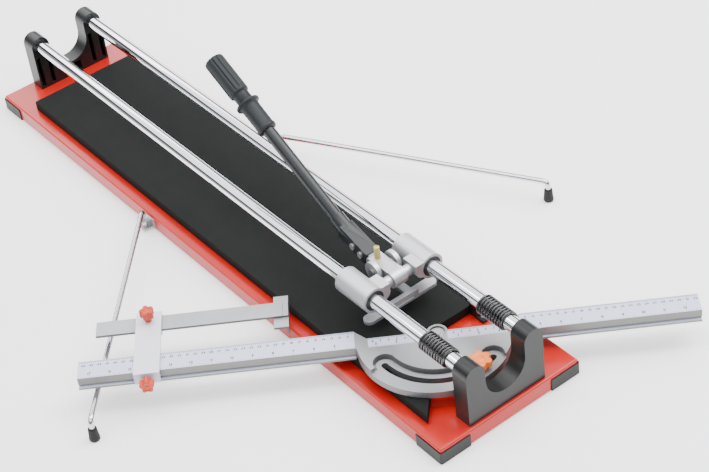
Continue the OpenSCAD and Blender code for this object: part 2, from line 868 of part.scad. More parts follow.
// Plan of a knob: a disc of radius r with n round lobes
module lobes(n, r, lobe_at, lobe_r) {
    circle(r);
    for (i = [0:n - 1]) rotate(360 * (i + 0.5) / n) translate([lobe_at, 0]) circle(lobe_r);
}

// Flat clamp knob on the threaded post: round lobes above a hub that meets the band
module protractor_knob() {
    color("orange") translate([0, stud_y, 0]) difference() {
        union() {
            translate([0, 0, band_z + 0.4]) cylinder(h = knob_z - band_z - 0.4, r = 9);
            translate([0, 0, knob_z]) linear_extrude(9) lobes(6, 11.5, 10.2, 4.8);
        }
        translate([0, 0, band_z - 1]) cylinder(h = knob_z + 7.5 - band_z, r = stud_r + fit);
    }
}

// ---- slider and stop bar --------------------------------------------------------

module slider() {
    x0 = -slider_at - slider_l / 2;
    x1 = -slider_at + slider_l / 2;
    half = ruler_w / 2;
    color("#e6e6ea") on_ruler() difference() {
        union() {
            box([x0, slider_near, slider_z], [x1, slider_far, slider_z + slider_t]);
            box([x0, slider_near, 42], [x1, slider_near + 3, slider_z + eps]);
            box([x0, half + 0.4, 44], [x1, half + 3, slider_z + eps]);
            box([x0, bar_y0 - 3.1, 47.2], [x1, bar_y1 + 3.1, slider_z + eps]);
        }
        box([x0 - 1, bar_y0 - 0.3, bar_z - 0.4], [x1 + 1, bar_y1 + 0.3, slider_z]);
        rod_z(-slider_at, bar_mid, slider_z - 1, slider_z + 6, knob_stud_r + fit);
        rod_y(-slider_at, slider_near - 1, slider_near + 4, front_knob_z, knob_stud_r + fit);
    }
}

// Star knob with a threaded stud below it: z = 0 is the face it screws down to
module star_knob(stud_l, neck_l) {
    color("#e8612c") {
        translate([0, 0, 0.3]) cylinder(h = neck_l, r = 4.5);
        translate([0, 0, neck_l]) linear_extrude(11) lobes(5, 7.2, 6.6, 3);
        translate([0, 0, -stud_l]) cylinder(h = stud_l + 0.3, r = knob_stud_r);
    }
}

module slider_knob_top() {
    on_ruler() translate([-slider_at, bar_mid, slider_z + slider_t])
        star_knob(slider_t + slider_z - ruler_top - 0.3, 8);
}

module slider_knob_front() {
    on_ruler() translate([-slider_at, slider_near, front_knob_z]) rotate([90, 0, 0])
        star_knob(-slider_near - ruler_w / 2 - 0.4, 4);
}

module stop_bar() {
    color("#b4b6b8") on_ruler()
        box([bar_end_x - stop_bar_l, bar_y0, bar_z], [bar_end_x, bar_y1, bar_z + 3.5]);
}

// Cross plate riveted under the bar's end, with a lip that meets the tile
module stop_plate() {
    top = bar_z;
    color("#bcbec0") on_ruler() {
        box([bar_end_x - 12, stop_y0, top - 3.3], [bar_end_x + 7, stop_y1, top]);
        box([bar_end_x + 4, stop_y0, 38.8], [bar_end_x + 7, stop_y1, top - 3]);
        box([bar_end_x + 0.1, bar_y0, top - eps], [bar_end_x + 7, bar_y1, bar_z + 3.5]);
    }
}

base_tray();
base_stiffener();
corner_cap_near_left();
corner_cap_near_right();
corner_cap_far_left();
corner_cap_far_right();
pad_left();
pad_right();
breaker_ridge();
near_bracket();
far_bracket();
rail_bolts();
bracket_screws();
rail_left();
rail_right();
spring_left();
spring_right();
square_stop();
pivot_post();
pivot_washer();
pivot_screw();
clamp_post();
arm_bracket_left();
arm_bracket_right();
arm_rings_left();
arm_rings_right();
arm_left();
arm_right();
arm_foot_left();
arm_foot_right();
housing_left();
housing_right();
bushes_left();
bushes_right();
cross_axle();
axle_clips();
lever_block();
ear_pin();
adjusting_bolt();
wheel_holder();
wheel_pin();
scoring_wheel();
breaker_foot();
breaker_pads();
handle_socket();
socket_screws();
handle_tube();
handle_sleeve();
handle_collar();
handle_grip();
protractor();
ruler_left();
ruler_right();
ruler_screws();
protractor_knob();
slider();
slider_knob_top();
slider_knob_front();
stop_bar();
stop_plate();
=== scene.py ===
"""Visual model of a rail tile cutter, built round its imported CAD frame.

Every piece is in metres, in the frame's own coordinates: +X right, +Y along the rails away
from the protractor, +Z up. Shapes are worked out in millimetres and scaled once, at the end.
"""
import json
import math

import bmesh
import bpy
import numpy as np
from bpy.props import FloatProperty, FloatVectorProperty, IntProperty, PointerProperty
from bpy.types import Operator, Panel, PropertyGroup
from mathutils import Matrix, Vector


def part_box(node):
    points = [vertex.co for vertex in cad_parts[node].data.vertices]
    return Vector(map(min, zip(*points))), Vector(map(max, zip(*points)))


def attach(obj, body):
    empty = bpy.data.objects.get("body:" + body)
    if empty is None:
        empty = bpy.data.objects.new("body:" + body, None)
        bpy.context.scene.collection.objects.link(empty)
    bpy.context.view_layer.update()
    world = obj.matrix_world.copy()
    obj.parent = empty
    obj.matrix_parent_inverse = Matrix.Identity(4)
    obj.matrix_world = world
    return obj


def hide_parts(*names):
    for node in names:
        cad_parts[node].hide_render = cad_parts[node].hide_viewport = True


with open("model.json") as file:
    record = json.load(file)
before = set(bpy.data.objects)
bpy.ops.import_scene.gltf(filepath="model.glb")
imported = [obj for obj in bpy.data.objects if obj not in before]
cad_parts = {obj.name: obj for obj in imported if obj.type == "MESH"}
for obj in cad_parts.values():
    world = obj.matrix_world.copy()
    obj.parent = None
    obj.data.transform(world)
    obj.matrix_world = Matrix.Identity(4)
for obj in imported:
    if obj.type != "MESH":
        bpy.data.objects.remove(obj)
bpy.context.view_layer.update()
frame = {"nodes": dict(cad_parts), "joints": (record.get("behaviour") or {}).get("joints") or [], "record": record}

bl_info = {
    "name": "Rail tile cutter",
    "version": (1, 0, 0),
    "blender": (4, 5, 0),
    "location": "3D View > Sidebar > Tile cutter",
    "description": "Builds the visual model of a rail tile cutter round its CAD frame",
    "category": "Add Mesh",
}

MM = 0.001
INCH = 25.4
EIGHTH = INCH / 8
ARM_WIRE = 3.75             # radius of an arm's wire
HANDLE_RISE = 27.5          # the handle's slope, in degrees
THREAD_PITCH = 1.25         # of the adjusting screw
THREAD_DEPTH = 0.35
SOFT_ANGLE = 32             # edges sharper than this many degrees are rounded
RULER_HALF = 15.0           # half the ruler's width
RULER_START, LEFT_END, RIGHT_END = 102.0, 447.0, 324.0    # ruler bars, from the pivot
TICK = 0.20                 # half the width of a printed tick
NODES = frame["nodes"]
JOINTS = {joint["name"]: joint for joint in frame["joints"]}
BODY_OF = {node: body for body, nodes in frame["record"]["behaviour"]["bodies"].items()
           for node in nodes}


# ---- where things are ----

def corner(node, end):
    """The lowest (end 0) or highest (end 1) corner of a CAD node, in millimetres."""
    return np.array(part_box(node)[end]) / MM


def corners(node):
    """Both corners of a CAD node, in millimetres."""
    return corner(node, 0), corner(node, 1)


def middle(node):
    """The middle of a CAD node's box, in millimetres."""
    return (corner(node, 0) + corner(node, 1)) / 2


def place_at(origin, along_x=(1, 0, 0), along_z=(0, 0, 1)):
    """A place: an origin in millimetres and three unit axes, from an x and a z direction."""
    z = np.array(along_z, float) / np.linalg.norm(along_z)
    x = np.array(along_x, float) - np.dot(along_x, z) * z
    x /= np.linalg.norm(x)
    return np.array(origin, float), np.stack([x, np.cross(z, x), z], axis=1)


def into(place, points):
    """Points of a place, local millimetres, in the frame's millimetres: origin + axes * p."""
    origin, axes = place
    return np.asarray(points, float) @ axes.T + origin


WORLD = place_at((0, 0, 0))
PIVOT = np.array(JOINTS["protractor_turn"]["pos_m"]) / MM
RULER = place_at((PIVOT[0], PIVOT[1], 0), JOINTS["slider_slide"]["axis"])


# ---- shaping with whole arrays ----

def grid_faces(rows, cols, wrap_rows=False):
    """Quads of a grid of points. Its columns close in a ring, and its rows too if asked."""
    r = np.arange(rows if wrap_rows else rows - 1)[:, None]
    c = np.arange(cols)[None, :]
    r2, c2 = (r + 1) % rows, (c + 1) % cols
    quads = np.stack([r * cols + c, r * cols + c2, r2 * cols + c2, r2 * cols + c], axis=-1)
    return quads.reshape(-1, 4)


def shell(grid, wrap_rows=False, lids=True):
    """(points, faces) of a grid of points. Lids close its first and last rows."""
    rows, cols = grid.shape[:2]
    faces = grid_faces(rows, cols, wrap_rows).tolist()
    if lids and not wrap_rows:
        faces.append(list(range(cols)))
        faces.append([(rows - 1) * cols + k for k in range(cols)])
    return grid.reshape(-1, 3), faces


def turned(profile, sides=64, shape=None):
    """A turned surface: profile rows (z, r), point = (r cos t, r sin t, z) for t round a
    circle. shape(t, z, r), if given, is the radius instead of r."""
    z, r = np.array(profile, float).T
    t = np.linspace(0, 2 * np.pi, sides, endpoint=False)
    radius = np.broadcast_to(r[:, None], (len(z), sides))
    if shape is not None:
        radius = shape(t[None, :], z[:, None], r[:, None])
    return np.stack([radius * np.cos(t), radius * np.sin(t),
                     np.broadcast_to(z[:, None], radius.shape)], axis=-1)


def swept(path, radius, sides=16):
    """A round wire along a path: each ring is path + radius (n cos t + b sin t), where n and
    b are carried along the path square to it, so that the wire does not twist."""
    path = np.asarray(path, float)
    tangent = np.gradient(path, axis=0)
    tangent /= np.linalg.norm(tangent, axis=1)[:, None]
    guide = np.array([0.0, 0.0, 1.0]) if abs(tangent[0, 2]) < 0.9 else np.array([1.0, 0, 0])
    normals = np.empty_like(path)
    for k, direction in enumerate(tangent):
        guide = guide - np.dot(guide, direction) * direction
        guide = guide / np.linalg.norm(guide)
        normals[k] = guide
    side = np.cross(tangent, normals)
    t = np.linspace(0, 2 * np.pi, sides, endpoint=False)
    ring = normals[:, None] * np.cos(t)[None, :, None] + side[:, None] * np.sin(t)[None, :, None]
    return path[:, None] + radius * ring


def rounded_profile(z0, z1, r, edge, steps=4):
    """Rows (z, r) of a disc with rounded rims: quarter circles of radius edge at both ends."""
    a = np.linspace(0, np.pi / 2, steps + 1)
    low = np.stack([z0 + edge * (1 - np.sin(a)), r - edge * (1 - np.cos(a))], axis=1)[::-1]
    high = np.stack([z1 - edge * (1 - np.sin(a)), r - edge * (1 - np.cos(a))], axis=1)
    return np.concatenate([low, high])


def sleeve_profile(z0, z1, inner, outer, edge, steps=3):
    """Closed rows (z, r) round the wall of a ring: the outside rim rounded by edge, and the
    bore's rim by half of that."""
    out = rounded_profile(z0, z1, outer, edge, steps)
    bore = rounded_profile(z0, z1, inner, edge / 2, steps)[::-1]
    bore[:, 1] = 2 * inner - bore[:, 1]
    return np.concatenate([out, bore])


def boxes(low, high):
    """Many boxes at once: low and high are n by 3 arrays of corners; every box has 8 points
    picked by the bits of 0 to 7, and 6 quads."""
    low, high = np.atleast_2d(low), np.atleast_2d(high)
    bits = (np.arange(8)[:, None] >> np.arange(3)) & 1
    points = low[:, None] + bits[None] * (high - low)[:, None]
    quads = np.array([[0, 2, 3, 1], [4, 5, 7, 6], [0, 1, 5, 4], [2, 6, 7, 3],
                      [0, 4, 6, 2], [1, 3, 7, 5]])
    faces = quads[None] + 8 * np.arange(len(low))[:, None, None]
    return points.reshape(-1, 3), faces.reshape(-1, 4).tolist()


def joined(shells):
    """Several (points, faces) shells as one."""
    points, faces, start = [], [], 0
    for shell_points, shell_faces in shells:
        points.append(shell_points)
        faces += [[start + k for k in face] for face in shell_faces]
        start += len(shell_points)
    return np.concatenate(points), faces


# ---- pieces ----

def piece(name, shells, finish, body, place=WORLD, stands_for=(), angle=35):
    """A new piece from shells of local millimetres: placed, merged, its faces turned
    outwards, smooth but for edges over angle degrees, and set to ride on its body."""
    points, faces = joined(shells)
    mesh = bpy.data.meshes.new(name)
    mesh.from_pydata((into(place, points) * MM).tolist(), [], faces)
    bm = bmesh.new()
    bm.from_mesh(mesh)
    bmesh.ops.remove_doubles(bm, verts=bm.verts, dist=2e-6)
    bmesh.ops.dissolve_degenerate(bm, edges=bm.edges, dist=1e-6)
    bmesh.ops.recalc_face_normals(bm, faces=bm.faces)
    bm.to_mesh(mesh)
    bm.free()
    mesh.shade_smooth()
    mesh.set_sharp_from_angle(angle=math.radians(angle))
    return adopt(name, mesh, finish, body, stands_for)


def put(name, data):
    """A new object in the scene."""
    obj = bpy.data.objects.new(name, data)
    bpy.context.scene.collection.objects.link(obj)
    return obj


def adopt(name, mesh, finish, body, stands_for=()):
    """Puts a mesh in the scene with its finish, riding on body, in place of CAD nodes."""
    obj = put(name, mesh)
    mesh.materials.clear()
    mesh.materials.append(finish_of(finish))
    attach(obj, body)
    if stands_for:
        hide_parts(*stands_for)
    return obj


def rounded_copy(node, finish, width, segments=3):
    """A copy of a CAD node with soft edges: its triangles are merged, flat areas are joined
    into single faces, and a Bevel modifier rounds its sharp edges by width millimetres."""
    source = NODES[node].data
    points = np.empty(len(source.vertices) * 3)
    source.vertices.foreach_get("co", points)
    mesh = bpy.data.meshes.new(node + "_soft")
    mesh.from_pydata(points.reshape(-1, 3).tolist(), [],
                     [list(p.vertices) for p in source.polygons])
    bm = bmesh.new()
    bm.from_mesh(mesh)
    bmesh.ops.remove_doubles(bm, verts=bm.verts, dist=2e-6)
    bmesh.ops.dissolve_limit(bm, angle_limit=math.radians(0.4), verts=bm.verts,
                             edges=bm.edges)
    bm.to_mesh(mesh)
    bm.free()
    mesh.shade_smooth()
    obj = adopt(node + "_soft", mesh, finish, BODY_OF[node], (node,))
    rounding = obj.modifiers.new("soft edges", "BEVEL")
    rounding.width = width * MM
    rounding.segments = segments
    rounding.limit_method = "ANGLE"
    rounding.angle_limit = math.radians(SOFT_ANGLE)
    rounding.harden_normals = True
    return obj


def keep(finish, *nodes):
    """CAD nodes that show as they are, with a better finish."""
    for node in nodes:
        for material_slot in NODES[node].material_slots:
            material_slot.material = finish_of(finish)


# ---- shared shader groups ----

def new_group(name, inputs):
    """An empty shader group with float inputs (name, default) and one float output, Value."""
    group = bpy.data.node_groups.new(name, "ShaderNodeTree")
    for label, default in inputs:
        socket = group.interface.new_socket(name=label, in_out="INPUT",
                                            socket_type="NodeSocketFloat")
        socket.default_value = default
    group.interface.new_socket(name="Value", in_out="OUTPUT", socket_type="NodeSocketFloat")
    return group, group.nodes.new("NodeGroupInput"), group.nodes.new("NodeGroupOutput")


def maths(tree, operation, first, second=None, clamp=False):
    """A Math node in tree. first and second are numbers or sockets; returns its output."""
    node = tree.nodes.new("ShaderNodeMath")
    node.operation = operation
    node.use_clamp = clamp
    for k, value in enumerate((first, second)):
        if value is None:
            continue
        if isinstance(value, (int, float)):
            node.inputs[k].default_value = value
        else:
            tree.links.new(value, node.inputs[k])
    return node.outputs[0]


def noise_in(tree, scale, detail=3.0, roughness=0.55, stretch=None):
    """A Noise texture on Object coordinates, stretched by the vector stretch if given."""
    coords = tree.nodes.new("ShaderNodeTexCoord")
    noise = tree.nodes.new("ShaderNodeTexNoise")
    noise.inputs["Detail"].default_value = detail
    noise.inputs["Roughness"].default_value = roughness
    source = coords.outputs["Object"]
    if stretch is not None:
        scaled = tree.nodes.new("ShaderNodeMapping")
        scaled.inputs["Scale"].default_value = stretch
        tree.links.new(source, scaled.inputs["Vector"])
        source = scaled.outputs["Vector"]
    tree.links.new(source, noise.inputs["Vector"])
    if isinstance(scale, (int, float)):
        noise.inputs["Scale"].default_value = scale
    else:
        tree.links.new(scale, noise.inputs["Scale"])
    return noise.outputs["Fac"]


def normal_height(tree):
    """The Z of the shaded normal."""
    geometry = tree.nodes.new("ShaderNodeNewGeometry")
    parts = tree.nodes.new("ShaderNodeSeparateXYZ")
    tree.links.new(geometry.outputs["Normal"], parts.inputs[0])
    return parts.outputs["Z"]


def make_grain_group():
    """Grain: noise at Scale per metre, stretched about its middle by Contrast, 0 to 1."""
    group, inside, outside = new_group("surface grain", [("Scale", 900.0), ("Contrast", 1.6)])
    noise = noise_in(group, inside.outputs["Scale"])
    centred = maths(group, "SUBTRACT", noise, 0.5)
    spread = maths(group, "MULTIPLY", centred, inside.outputs["Contrast"])
    group.links.new(maths(group, "ADD", spread, 0.5, clamp=True), outside.inputs["Value"])
    return group


def make_rub_group():
    """Edge rub: 1 where a Bevel node of Radius turns the normal away from the face's own,
    broken up by noise and scaled by Amount."""
    group, inside, outside = new_group("edge rub", [("Radius", 0.001), ("Amount", 1.0)])
    bevel = group.nodes.new("ShaderNodeBevel")
    bevel.samples = 4
    group.links.new(inside.outputs["Radius"], bevel.inputs["Radius"])
    geometry = group.nodes.new("ShaderNodeNewGeometry")
    dot = group.nodes.new("ShaderNodeVectorMath")
    dot.operation = "DOT_PRODUCT"
    group.links.new(bevel.outputs["Normal"], dot.inputs[0])
    group.links.new(geometry.outputs["Normal"], dot.inputs[1])
    turn = maths(group, "SUBTRACT", 1.0, dot.outputs["Value"])
    edge = maths(group, "MULTIPLY", turn, 4.0, clamp=True)
    patches = maths(group, "MULTIPLY", noise_in(group, 260.0, 4.0), 1.5, clamp=True)
    broken = maths(group, "MULTIPLY", edge, patches)
    group.links.new(maths(group, "MULTIPLY", broken, inside.outputs["Amount"], clamp=True),
                    outside.inputs["Value"])
    return group


def make_dust_group():
    """Dust: how far a face looks up, cubed, times soft noise at Scale, times Amount."""
    group, inside, outside = new_group("settled dust", [("Scale", 30.0), ("Amount", 0.1)])
    up = maths(group, "POWER", maths(group, "MAXIMUM", normal_height(group), 0.0), 3.0)
    patchy = maths(group, "MULTIPLY", up, noise_in(group, inside.outputs["Scale"], 5.0, 0.65))
    group.links.new(maths(group, "MULTIPLY", patchy, inside.outputs["Amount"], clamp=True),
                    outside.inputs["Value"])
    return group


GROUPS = {}


def group_value(tree, group, **values):
    """Places a shared group in a material with its own values, and returns its output."""
    if group not in GROUPS:
        GROUPS[group] = {"grain": make_grain_group, "rub": make_rub_group,
                         "dust": make_dust_group}[group]()
    node = tree.nodes.new("ShaderNodeGroup")
    node.node_tree = GROUPS[group]
    for label, value in values.items():
        node.inputs[label].default_value = value
    return node.outputs["Value"]


def mixed(tree, mask, first, second):
    """The colour first where mask is 0 and second where it is 1; colours or sockets."""
    node = tree.nodes.new("ShaderNodeMix")
    node.data_type = "RGBA"
    factor, a, b = node.inputs[0], node.inputs[6], node.inputs[7]
    tree.links.new(mask, factor)
    for socket, value in ((a, first), (b, second)):
        if isinstance(value, bpy.types.NodeSocket):
            tree.links.new(value, socket)
        else:
            socket.default_value = (*value, 1.0)
    return node.outputs[2]


# ---- finishes ----

def shade(colour, factor):
    """A colour made lighter or darker by factor, held within 0 to 1."""
    return tuple(min(1.0, max(0.0, c * factor)) for c in colour)


# each finish: colour (a property or three numbers), roughness low and high, metallic, coat,
# tone = how far the colour varies, grain = noise scale per metre, bump = its height in mm,
# rub = (edge radius mm, amount, colour), dust = amount, drawn = axis stretch of drawn metal,
# shine = specular level, side = painted shade: the darker colour of faces that do not look up
FINISHES = {
    "red paint": dict(colour="paint", rough=(0.26, 0.32), coat=0.3, tone=0.02, grain=90,
        bump=0.003, shine=0.3, rub=(0.8, 0.05, (0.85, 0.12, 0.05)), dust=0.01),
    "galvanised sheet": dict(colour=(0.46, 0.47, 0.48), rough=(0.38, 0.6), metallic=0.9,
        tone=0.25, grain=160, bump=0.01, dust=0.05),
    "cap plastic": dict(colour=(0.016, 0.018, 0.017), rough=(0.42, 0.55), tone=0.2, shine=0.3,
        grain=2600, bump=0.02, rub=(0.6, 0.2, (0.06, 0.06, 0.06)), dust=0.01),
    "pad rubber": dict(colour="rubber", rough=(0.68, 0.85), tone=0.15, grain=1500, bump=0.03,
        shine=0.10, rub=(0.8, 0.2, (0.03, 0.034, 0.032)), dust=0.01),
    "ridge steel": dict(colour=(0.55, 0.56, 0.57), rough=(0.22, 0.36), metallic=1.0, tone=0.1,
        grain=900, bump=0.01, drawn=(9, 0.25, 9)),
    "bracket satin": dict(colour="bracket", rough=(0.26, 0.36), tone=0.12, grain=1900,
        bump=0.01, shine=0.35, rub=(0.9, 0.2, (0.06, 0.06, 0.062)),
        dust=0.01),
    "chrome": dict(colour=(0.84, 0.85, 0.89), rough=(0.03, 0.07), metallic=1.0, tone=0.03,
        grain=300, bump=0.003, drawn=(6, 0.4, 6)),
    "arm chrome": dict(colour=(0.62, 0.62, 0.66), rough=(0.10, 0.18), metallic=1.0, tone=0.06,
        grain=500, bump=0.006),
    "spring black": dict(colour=(0.008, 0.008, 0.009), rough=(0.12, 0.2), coat=0.8, tone=0.1,
        grain=1200, bump=0.004),
    "zinc plate": dict(colour=(0.60, 0.60, 0.58), rough=(0.26, 0.42), metallic=1.0, tone=0.12,
        grain=700, bump=0.01, rub=(0.3, 0.4, (0.75, 0.75, 0.74))),
    "foot rubber": dict(colour=(0.008, 0.008, 0.009), rough=(0.45, 0.65), tone=0.2, shine=0.3,
        grain=1600, bump=0.02, dust=0.01),
    "cast alloy": dict(colour="casting", rough=(0.32, 0.46), metallic=0.6, tone=0.08,
        grain=1700, bump=0.04, rub=(0.6, 0.4, (0.86, 0.87, 0.89)),
        # side: painted shade on the castings' faces that do not look up
        side=(0.34, 0.35, 0.36)),
    "protractor casting": dict(colour=(0.36, 0.365, 0.37), rough=(0.36, 0.50), metallic=0.6,
        tone=0.14, grain=1500, bump=0.04,
        rub=(0.6, 0.5, (0.72, 0.73, 0.74)),
        # side: painted shade on the protractor's faces that do not look up
        side=(0.20, 0.20, 0.21)),
    "bush nylon": dict(colour=(0.012, 0.012, 0.014), rough=(0.35, 0.5), tone=0.2, grain=1800,
        bump=0.01, shine=0.3),
    "brass": dict(colour=(0.56, 0.44, 0.17), rough=(0.28, 0.42), metallic=1.0, tone=0.2,
        grain=600, bump=0.01, rub=(0.4, 0.5, (0.80, 0.68, 0.36))),
    "wheel carbide": dict(colour=(0.34, 0.35, 0.37), rough=(0.2, 0.34), metallic=1.0,
        tone=0.1, grain=900, bump=0.005),
    "handle paint": dict(colour="handle", rough=(0.30, 0.42), coat=0.12, tone=0.15, shine=0.3,
        grain=1400, bump=0.01, rub=(0.5, 0.2, (0.06, 0.065, 0.07))),
    "grip plastic": dict(colour="grip", rough=(0.42, 0.55), tone=0.15, grain=2200, bump=0.02,
        shine=0.25, rub=(0.6, 0.15, (0.05, 0.053, 0.058))),
    "ruler alloy": dict(colour="ruler", rough=(0.34, 0.46), metallic=0.2, tone=0.04,
        grain=700, bump=0.006, rub=(0.4, 0.3, (0.9, 0.9, 0.94)),
        # side: painted shade on the ruler's faces that do not look up
        side=(0.20, 0.20, 0.19)),
    "printed band": dict(colour=(0.58, 0.60, 0.74), rough=(0.40, 0.50), tone=0.03,
        grain=900, bump=0.003),
    "printed mark": dict(colour=(0.04, 0.04, 0.07), rough=(0.5, 0.6), tone=0.3, grain=2500,
        bump=0.002),
    "clamp orange": dict(colour="clamp", rough=(0.26, 0.38), tone=0.10, grain=900,
        bump=0.01, rub=(0.7, 0.2, (1.0, 0.45, 0.16))),
    "knob orange": dict(colour="knob", rough=(0.26, 0.38), tone=0.10, grain=900, bump=0.01,
        rub=(0.6, 0.2, (0.95, 0.25, 0.08))),
    "slider white": dict(colour=(0.74, 0.74, 0.82), rough=(0.30, 0.42), metallic=0.1,
        tone=0.03, grain=500, bump=0.006,
        # side: painted shade on the slider's faces that do not look up
        rub=(0.4, 0.2, (0.9, 0.9, 0.94)), side=(0.50, 0.52, 0.62)),
    "stop bar alloy": dict(colour=(0.40, 0.41, 0.42), rough=(0.34, 0.55), metallic=0.6,
        # side: painted shade on the stop bar's faces that do not look up
        tone=0.40, grain=1100, bump=0.02, side=(0.13, 0.13, 0.135)),
    "post steel": dict(colour=(0.52, 0.52, 0.53), rough=(0.28, 0.42), metallic=1.0, tone=0.12,
        grain=700, bump=0.01),
}
MADE = {}


def finish_of(name):
    """The material of that name: a Principled BSDF whose colour, roughness and normal come
    from grain, edge rub and dust, with painted shade on faces that do not look up where the finish has a side
    colour, made once."""
    if name in MADE:
        return MADE[name]
    want = FINISHES[name]
    colour = want["colour"]
    if isinstance(colour, str):
        colour = tuple(getattr(bpy.context.scene.cutter_colours, colour))
    material = bpy.data.materials.new(name)
    material.use_nodes = True
    tree = material.node_tree
    shader = tree.nodes["Principled BSDF"]
    shader.inputs["Metallic"].default_value = want.get("metallic", 0.0)
    shader.inputs["Coat Weight"].default_value = want.get("coat", 0.0)
    shader.inputs["Coat Roughness"].default_value = 0.12
    shader.inputs["Specular IOR Level"].default_value = want.get("shine", 0.5)
    tone = want["tone"]
    if "drawn" in want:
        grain = noise_in(tree, want["grain"] * 0.2, stretch=want["drawn"])
    else:
        grain = group_value(tree, "grain", Scale=want["grain"], Contrast=1.8)
    broad = group_value(tree, "grain", Scale=14.0, Contrast=1.4)
    blend = maths(tree, "ADD", maths(tree, "MULTIPLY", grain, 0.55),
                  maths(tree, "MULTIPLY", broad, 0.45))
    surface = mixed(tree, blend, shade(colour, 1 - tone), shade(colour, 1 + tone))
    # painted shade: faces whose normal Z is below 0.4 take the finish's darker side colour, blending back to their
    # own colour by 0.8
    if "side" in want:
        above = maths(tree, "SUBTRACT", normal_height(tree), 0.4)
        level = maths(tree, "MULTIPLY", above, 2.5, clamp=True)
        surface = mixed(tree, level, want["side"], surface)
    if "rub" in want:
        radius, amount, bare = want["rub"]
        rub = group_value(tree, "rub", Radius=radius * MM, Amount=amount)
        surface = mixed(tree, rub, surface, bare)
    low, high = want["rough"]
    rough = maths(tree, "ADD", maths(tree, "MULTIPLY", blend, high - low), low)
    if "dust" in want:
        dust = group_value(tree, "dust", Scale=25.0, Amount=want["dust"])
        surface = mixed(tree, dust, surface, (0.55, 0.53, 0.50))
        rough = maths(tree, "ADD", rough, maths(tree, "MULTIPLY", dust, 0.6), clamp=True)
    tree.links.new(surface, shader.inputs["Base Color"])
    tree.links.new(rough, shader.inputs["Roughness"])
    bump = tree.nodes.new("ShaderNodeBump")
    bump.inputs["Distance"].default_value = want["bump"] * MM
    bump.inputs["Strength"].default_value = 0.6
    tree.links.new(grain, bump.inputs["Height"])
    tree.links.new(bump.outputs["Normal"], shader.inputs["Normal"])
    MADE[name] = material
    return material


# ---- sizes and colours a user would change ----

def length(name, description, default_mm):
    """A length property in metres, given in millimetres."""
    return FloatProperty(name=name, description=description, default=default_mm * MM,
                         min=0.0, unit="LENGTH", subtype="DISTANCE", precision=5)


def colour(name, description, default):
    """A colour property."""
    return FloatVectorProperty(name=name, description=description, default=default,
                               size=3, min=0.0, max=1.0, subtype="COLOR")


class CutterSizes(PropertyGroup):
    """Sizes of the detail that the looks add to the CAD frame."""
    tray_bend: length("Tray bend", "Outside radius of the tray's folded top edge", 2.6)
    sheet: length("Sheet", "Thickness of the tray's sheet", 2.0)
    bracket_edge: length("Bracket edge", "Rounding of the end brackets' edges", 1.6)
    casting_edge: length("Casting edge", "Rounding of the cast parts' edges", 1.2)
    spring_wire: length("Spring wire", "Diameter of the buffer springs' wire", 3.1)
    spring_turns: IntProperty(name="Spring turns", description="Turns of a buffer spring",
                              default=10, min=4, max=20)
    arm_bend: length("Arm bend", "Reach of the bends at the ends of an arm", 9.0)
    flutes: IntProperty(name="Grip flutes", description="Flutes round the handle grip",
                        default=12, min=6, max=24)
    flute_depth: length("Flute depth", "Depth of the grip's flutes", 1.3)
    mark_height: length("Mark height", "How far printed marks stand above the rule", 0.06)
    cm_digits: length("Centimetre digits", "Height of the centimetre numbers", 3.4)
    inch_digits: length("Inch digits", "Height of the inch numbers", 4.0)


class CutterColours(PropertyGroup):
    """Colours of the painted, moulded and cast parts."""
    paint: colour("Tray paint", "Colour of the painted tray", (0.46, 0.006, 0.002))
    rubber: colour("Pads", "Colour of the rubber pads", (0.010, 0.012, 0.011))
    bracket: colour("Brackets", "Colour of the end brackets", (0.011, 0.012, 0.012))
    casting: colour("Castings", "Colour of the carriage castings", (0.66, 0.66, 0.69))
    handle: colour("Handle", "Colour of the handle tube and socket", (0.011, 0.014, 0.016))
    grip: colour("Grip", "Colour of the handle grip", (0.014, 0.017, 0.019))
    ruler: colour("Ruler", "Colour of the ruler bars", (0.60, 0.63, 0.78))
    clamp: colour("Clamp knob", "Colour of the protractor's clamp knob", (0.88, 0.19, 0.02))
    knob: colour("Slider knobs", "Colour of the slider's two knobs", (0.55, 0.045, 0.008))


def sizes():
    return bpy.context.scene.cutter_sizes


class CutterOperator(Operator):
    """What every step of this build shares."""
    bl_options = {"REGISTER"}

    def execute(self, context):
        self.build()
        return {"FINISHED"}


# ---- base ----

def rounded_rectangle(half_w, half_l, radius, steps=5):
    """Points round a rectangle with round corners: each corner's centre + radius (cos, sin)
    over a quarter turn; the radius shrinks to nothing as the rectangle does."""
    a = np.linspace(0, np.pi / 2, steps)
    turns = np.concatenate([a + k * np.pi / 2 for k in range(4)])
    sx = np.repeat([1, -1, -1, 1], steps)
    sy = np.repeat([1, 1, -1, -1], steps)
    return np.stack([sx * (half_w - radius) + radius * np.cos(turns),
                     sy * (half_l - radius) + radius * np.sin(turns)], axis=1)


